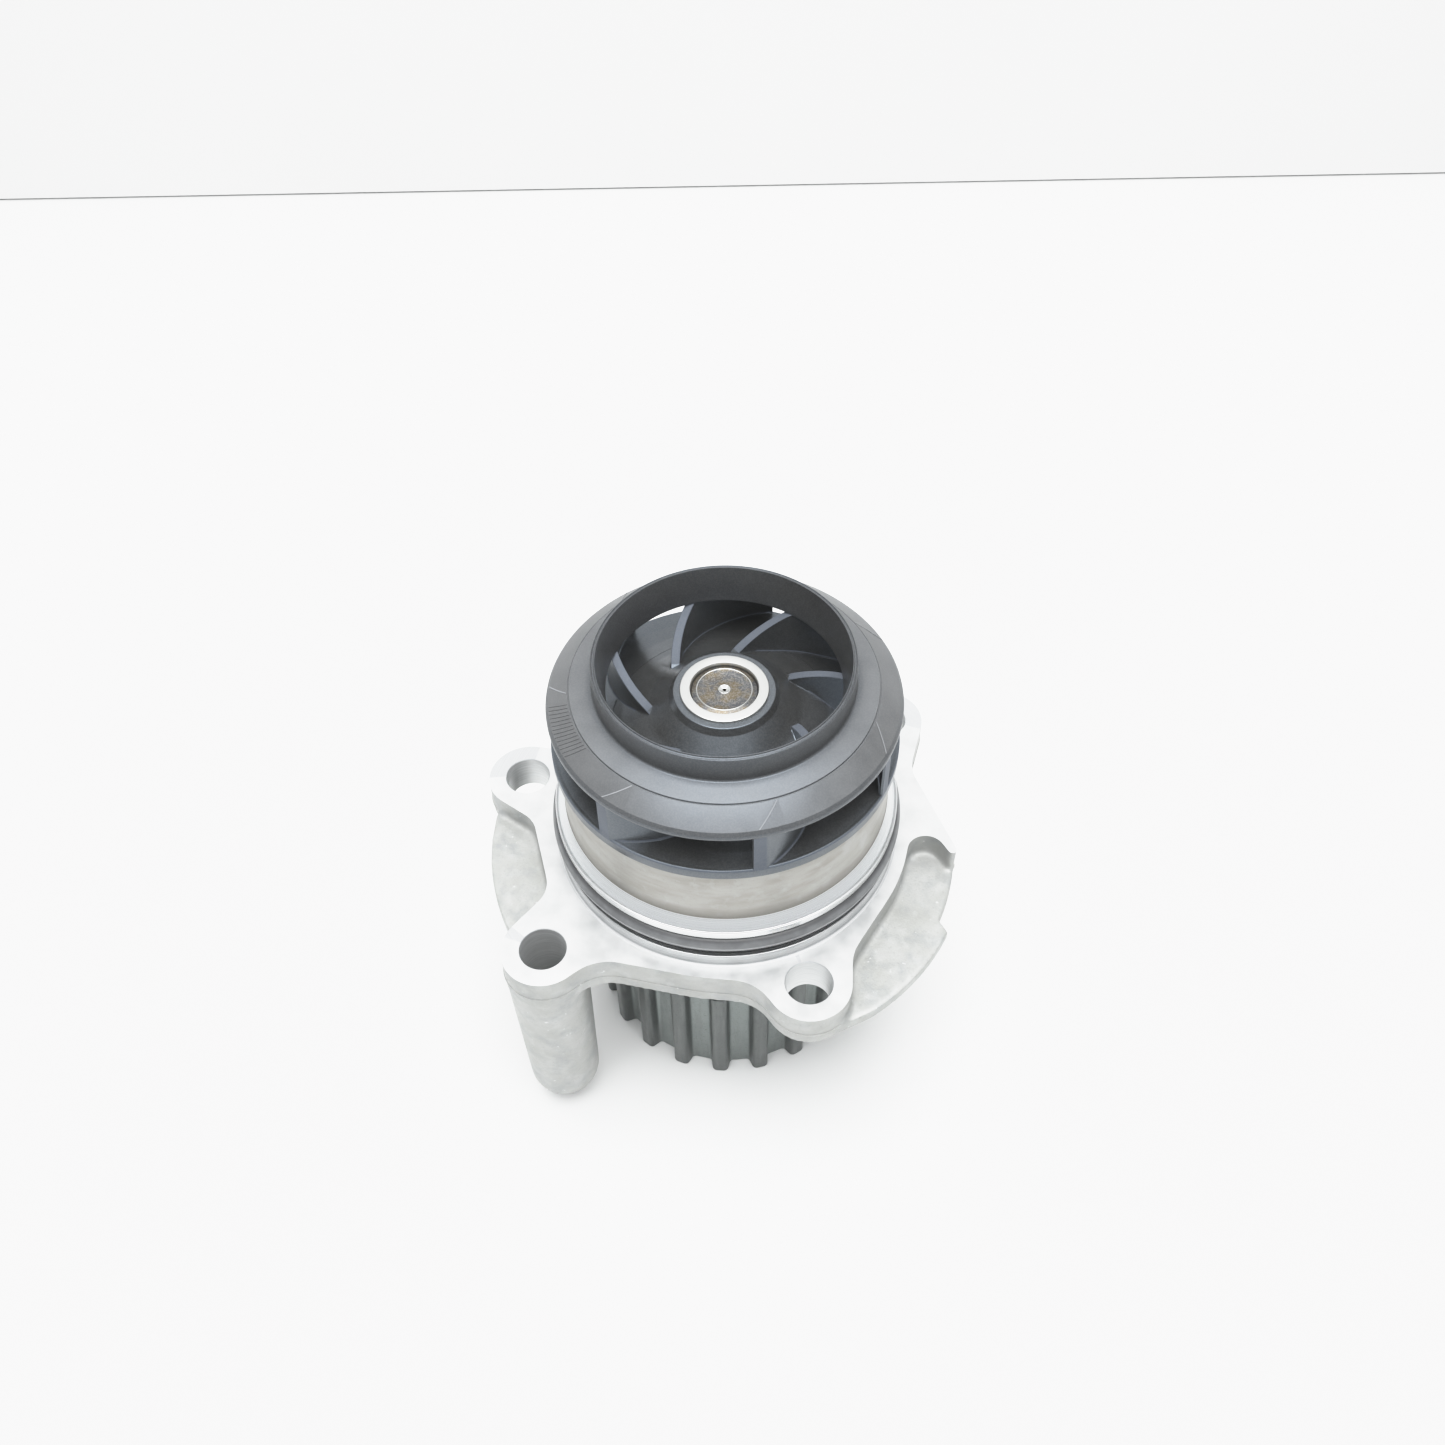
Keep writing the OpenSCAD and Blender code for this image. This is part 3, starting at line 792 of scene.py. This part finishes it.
def build_shroud():
    profile = rounded([
        (IMPELLER_R, 39.3, 0.15), (29.5, 41.2, 3), (25.5, 42.3, 2), (LIP_R, 42.9, 0.35),
        (EYE_R, COLLAR_TOP - 0.3, 0.1), (EYE_R + 0.06, COLLAR_TOP, 0.03), (EYE_R + 0.2, COLLAR_TOP, 0.05),
        (EYE_R + 0.32, COLLAR_TOP - 0.25, 0.05), (COLLAR_R - 0.38, COLLAR_TOP - 0.32, 0.1),
        (COLLAR_R - 0.2, COLLAR_TOP - 0.1, 0.08), (COLLAR_R, COLLAR_TOP - 0.25, 0.08), (COLLAR_R, 44.75, 0.5),
        (29.32, 44.0, 0.08), (29.40, 43.66, 0.03), (29.54, 43.64, 0.03), (29.62, 43.74, 0.06),
        (33.5, 40.95, 0.3), (34.0, 40.3, 0.2), (IMPELLER_R, 39.9, 0.2),
    ], steps=6)
    shroud = lathe("impeller_shroud", profile, steps=360)
    marks = [
        cone_bar(29.8, 33.4, angle, angle - 4, 0.12, -0.06, 0.3) for angle in np.linspace(190, 212, 14)
    ]
    combine(shroud, joined("marks", marks), "DIFFERENCE")
    tail = math.degrees(math.atan2(BLADE_TAIL[1], BLADE_TAIL[0]))
    seams = [
        cone_bar(29.8, 33.5, tail + 8.1 + 360 * k / BLADES, tail + 0.5 + 360 * k / BLADES, 0.3, -0.2, 0.13)
        for k in range(BLADES)
    ]
    combine(shroud, joined("seams", seams), "UNION")
    shroud.data.materials.clear()
    shroud.data.materials.append(shroud_plastic)
    shroud.data.materials.append(weld_flash)
    for face in shroud.data.polygons:
        r = math.hypot(face.center.x, face.center.y)
        on_cone = 29.8 < r < 33.6 and face.normal.z > 0.3
        face.material_index = int(on_cone and face.center.z > cone_height(r) + 0.09)
    return finished(shroud, "rotor", ["impeller_shroud"])


# ---------------------------------------------------------------- turned and moulded small parts

def build_insert():
    profile = rounded([
        (STUB_R, INSERT_BOTTOM), (INSERT_R, INSERT_BOTTOM), (INSERT_R, INSERT_TOP, 0.25),
        (6.62, INSERT_TOP, 0.1), (6.5, INSERT_TOP - 0.3, 0.1), (6.5, INSERT_TOP - 3.0, 0.1),
        (STUB_R, INSERT_TOP - 3.6),
    ])
    piece = lathe("impeller_insert", profile, steps=192)
    piece.data.materials.append(bright_steel)
    return finished(piece, "rotor", ["impeller_insert"])


def build_shaft():
    burr_r, drill_r, chamfer_r = 5.3, 1.05, 6.3
    profile = rounded([
        (0, SHAFT_BOTTOM + 2.4), (0.5, SHAFT_BOTTOM + 1.9), (2.0, SHAFT_BOTTOM, 0.1),
        (SHAFT_R - 0.8, SHAFT_BOTTOM, 0.2), (SHAFT_R, SHAFT_BOTTOM + 0.8, 0.2),
        (SHAFT_R, 24, 0.1), (STUB_R, 24),
        (STUB_R, SHAFT_TOP - 2.6), (chamfer_r, SHAFT_TOP - 2.5), (chamfer_r, SHAFT_TOP - 0.42, 0.1),
        (burr_r + 0.12, SHAFT_TOP - 0.12, 0.1), (burr_r + 0.08, SHAFT_TOP), (burr_r, SHAFT_TOP + 0.05),
        (burr_r - 0.1, SHAFT_TOP), (drill_r + 0.08, SHAFT_TOP), (drill_r, SHAFT_TOP + 0.03),
        (0.36, SHAFT_TOP - 0.22), (0.3, SHAFT_TOP - 2.0), (0, SHAFT_TOP - 2.3),
    ])
    piece = lathe("shaft", profile, steps=192)
    mesh = piece.data
    mesh.materials.append(shaft_steel())
    mesh.materials.append(bright_steel)
    for face in mesh.polygons:
        r, z = math.hypot(face.center.x, face.center.y), face.center.z
        ridge = abs(r - burr_r) < 0.14 or 0.34 < r < drill_r + 0.1
        face.material_index = int(z > SHAFT_TOP - 0.4 and ridge)
    return finished(piece, "rotor", ["shaft"])


def build_o_ring():
    middle, half = GROOVE_R + O_RING_D / 2, O_RING_D / 2
    profile = [
        (middle + half * math.cos(a), O_RING_Z + half * math.sin(a))
        for a in np.linspace(0, TURN, 40, endpoint=False)
    ]
    piece = lathe("pilot_o_ring", profile, steps=320)
    piece.data.materials.append(o_ring_rubber())
    return finished(piece, "pump_body", ["pilot_o_ring"])


# ---------------------------------------------------------------- pulley

def tooth_outline():
    """The sprocket's outline, tooth by tooth, with rounded tips and gap corners."""
    corners = []
    for i in range(TEETH):
        middle = FIRST_TOOTH + TURN * i / TEETH
        for r, offset, radius in (
            (ROOT_R, -4.6, 0.9), (TIP_R + 0.02, -3.15, 1.1), (TIP_R + 0.02, 3.15, 1.1), (ROOT_R, 4.6, 0.9),
        ):
            a = middle + math.radians(offset)
            corners.append((r * math.cos(a), r * math.sin(a), radius))
    return np.array(rounded(corners, steps=6))


def inset(outline, amount):
    """Moves a counter-clockwise outline inwards."""
    along = np.roll(outline, -1, axis=0) - np.roll(outline, 1, axis=0)
    inwards = np.stack([-along[:, 1], along[:, 0]], axis=1) / np.linalg.norm(along, axis=1, keepdims=True)
    return outline + inwards * amount


def build_pulley():
    outline = tooth_outline()
    bevel = 0.4
    angles = np.arctan2(outline[:, 1], outline[:, 0])
    web_top, hub_top, bore = PULLEY_BOTTOM + 5, -45.3, SHAFT_R

    def ring(points, z):
        return [(x, y, z) for x, y in points]

    outside = [(bevel, PULLEY_BOTTOM), (bevel * 0.3, PULLEY_BOTTOM + bevel * 0.3), (0, PULLEY_BOTTOM + bevel)]
    outside += [(0, PULLEY_TOP - bevel), (bevel * 0.3, PULLEY_TOP - bevel * 0.3), (bevel, PULLEY_TOP)]
    rings = [ring(inset(outline, amount), z) for amount, z in outside]
    inside = rounded([
        (24, PULLEY_TOP), (23.2, PULLEY_TOP, 0.4), (23.2, web_top, 1.2), (13.2, web_top, 1.0),
        (13, hub_top, 0.4), (bore, hub_top, 0.3), (bore, PULLEY_BOTTOM, 0.4),
        (12.8, PULLEY_BOTTOM, 0.4), (13.4, PULLEY_BOTTOM + 1, 0.4), (22.8, PULLEY_BOTTOM + 1, 0.5),
        (23.3, PULLEY_BOTTOM, 0.4), (24, PULLEY_BOTTOM),
    ], closed=False)
    rings += [ring(np.stack([r * np.cos(angles), r * np.sin(angles)], axis=1), z) for r, z in inside]
    piece = loft("pulley", rings, closed=True)
    piece.data.materials.append(sintered_steel())
    return finished(piece, "rotor", ["pulley"], sharp_degrees=40)


# ---------------------------------------------------------------- build

hub_plastic = impeller_plastic(
    "hub_plastic", (0.018, 0.018, 0.017), (0.028, 0.028, 0.027),
    tint=(0.74, 0.86, 1.0), gloss=0.85, rough=0.28,
)
shroud_plastic = impeller_plastic(
    "shroud_plastic", (0.018, 0.017, 0.016), (0.027, 0.026, 0.024),
    tint=(0.78, 0.88, 1.0), gloss=0.8, rough=0.34, dust_and_sheen=0.34,
)
# Paler plastic that paints highlights on the blades' edges and foot fillets.
painted_edge_highlight = impeller_plastic(
    "painted_highlight_plastic", (0.070, 0.080, 0.098), (0.090, 0.102, 0.124),
    tint=(0.8, 0.9, 1.0), gloss=0.25, rough=0.5,
)
weld_flash = impeller_plastic(
    "weld_flash_plastic", (0.17, 0.175, 0.185), (0.24, 0.245, 0.255),
    tint=(0.8, 0.9, 1.0), gloss=0.4, rough=0.4,
)
bright_steel = insert_steel()
build_housing()
build_hub()
build_shroud()
build_insert()
build_shaft()
build_o_ring()
build_pulley()

STEEL = plain_part("bearing_steel", (0.55, 0.56, 0.57), (0.70, 0.71, 0.72), 1.0, 0.12)
RUBBER = plain_part("seal_rubber", (0.02, 0.02, 0.021), (0.05, 0.05, 0.05), 0.0, 0.55)
CAGE = plain_part("cage_plastic", (0.42, 0.35, 0.22), (0.52, 0.45, 0.30), 0.0, 0.45)
PRESSED = plain_part("seal_cup_brass", (0.62, 0.47, 0.20), (0.75, 0.60, 0.30), 1.0, 0.25)
SPRING = plain_part("spring_steel", (0.50, 0.50, 0.50), (0.66, 0.66, 0.66), 1.0, 0.25)
CARBON = plain_part("carbon", (0.02, 0.02, 0.022), (0.04, 0.04, 0.042), 0.0, 0.3)
CARBIDE = plain_part("silicon_carbide", (0.05, 0.052, 0.055), (0.09, 0.092, 0.095), 0.0, 0.2)
INNER_FINISH = {
    "weep_hole_cap": RUBBER, "bearing_outer_ring": STEEL, "bearing_balls": STEEL, "bearing_rollers": STEEL,
    "bearing_seal_impeller_side": RUBBER, "bearing_seal_pulley_side": RUBBER, "ball_cage": CAGE,
    "roller_cage": CAGE, "seal_cup": PRESSED, "seal_bellows": RUBBER, "seal_spring": SPRING,
    "seal_ferrule": SPRING, "seal_carbon_ring": CARBON, "seal_mating_ring": CARBIDE, "seal_seat_boot": RUBBER,
}
for node, material in INNER_FINISH.items():
    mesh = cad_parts[node].data
    mesh.materials.clear()
    mesh.materials.append(material)
    mesh.shade_smooth()
    mesh.set_sharp_from_angle(angle=math.radians(35))


# ---------------------------------------------------------------- stage, light and camera

def stage_material(name, low, high, rough):
    s = Surface(name)
    cloud = s.noise(120.0)
    s.colour(s.mix(s.ramp(cloud, 0.3, 0.7), low, high))
    s.shader.inputs["Roughness"].default_value = rough
    return s.material


FLOOR_Z = PULLEY_BOTTOM * MM
WALL_Y = 0.363
WALL_GAP = 0.001


def build_stage():
    """A pale table top with a pale board standing behind it, a hair above the table."""
    half, thick = 3.0, 0.02
    low, high = FLOOR_Z + WALL_GAP, FLOOR_Z + 2.0
    front, back = WALL_Y, WALL_Y + thick
    corners = [(-half, front), (half, front), (half, back), (-half, back)]
    wall = loft("wall", [[(x, y, z) for x, y in corners] for z in (low, high)])
    wall.data.materials.append(stage_material("wall_white", (0.74, 0.74, 0.735), (0.76, 0.76, 0.755), 0.6))
    table = [(-half, -half), (half, -half), (half, half), (-half, half)]
    floor = loft("floor", [[(x, y, z) for x, y in table] for z in (FLOOR_Z - thick, FLOOR_Z)])
    floor.data.materials.append(stage_material("floor_white", (0.80, 0.805, 0.80), (0.82, 0.825, 0.82), 0.55))


def area_light(name, place, aim, size, power):
    lamp = bpy.data.lights.new(name, "AREA")
    lamp.shape, lamp.size, lamp.size_y = "RECTANGLE", *size
    lamp.energy = power
    holder = bpy.data.objects.new(name, lamp)
    holder.location = place
    holder.rotation_euler = (Vector(aim) - Vector(place)).to_track_quat("-Z", "Y").to_euler()
    bpy.context.scene.collection.objects.link(holder)


def build_light():
    """A bright white tent, a softbox over the front, and a film that prints white at its own level."""
    world = bpy.data.worlds.new("studio")
    world.use_nodes = True
    background = world.node_tree.nodes["Background"]
    background.inputs["Color"].default_value = (0.97, 0.985, 1.0, 1)
    background.inputs["Strength"].default_value = 0.9
    bpy.context.scene.world = world
    area_light("softbox", (0.0, -0.12, 0.8), (0, 0, 0), (0.8, 0.65), 12.5)
    view = bpy.context.scene.view_settings
    view.view_transform = "Standard"
    view.use_curve_mapping = True
    film = view.curve_mapping
    film.white_level = (2, 2, 2)
    line = film.curves[3]
    line.points[0].location = (0, 0.008)
    line.points[1].location = (1, 0.94)
    for scene_light, print_light in ((0.15, 0.3), (0.3, 0.58), (0.5, 0.85), (0.7, 0.93)):
        line.points.new(scene_light, print_light)
    film.update()


def build_camera():
    """Camera placed by its height and distance from the axis, its downward pitch and a slight roll."""
    distance, height, pitch, yaw, roll = 182.26, 242.54, 49.145, -0.152, -1.133
    focal_px, frame_px, sensor = 1430.0, 1445.0, 36.0
    p, y, q = (math.radians(v) for v in (pitch, yaw, roll))
    forward = Vector((math.sin(y) * math.cos(p), math.cos(y) * math.cos(p), -math.sin(p)))
    right = Vector((math.cos(y), -math.sin(y), 0))
    up = right.cross(forward)
    right, up = right * math.cos(q) + up * math.sin(q), up * math.cos(q) - right * math.sin(q)
    lens = bpy.data.cameras.new("camera")
    lens.sensor_width, lens.lens = sensor, sensor * focal_px / frame_px
    lens.clip_start, lens.clip_end = 0.01, 20
    camera = bpy.data.objects.new("camera", lens)
    turn = Matrix((right, up, -forward)).transposed().to_4x4()
    camera.matrix_world = Matrix.Translation(Vector((0, -distance, height)) * MM) @ turn
    bpy.context.scene.collection.objects.link(camera)
    bpy.context.scene.camera = camera


build_stage()
build_light()
build_camera()
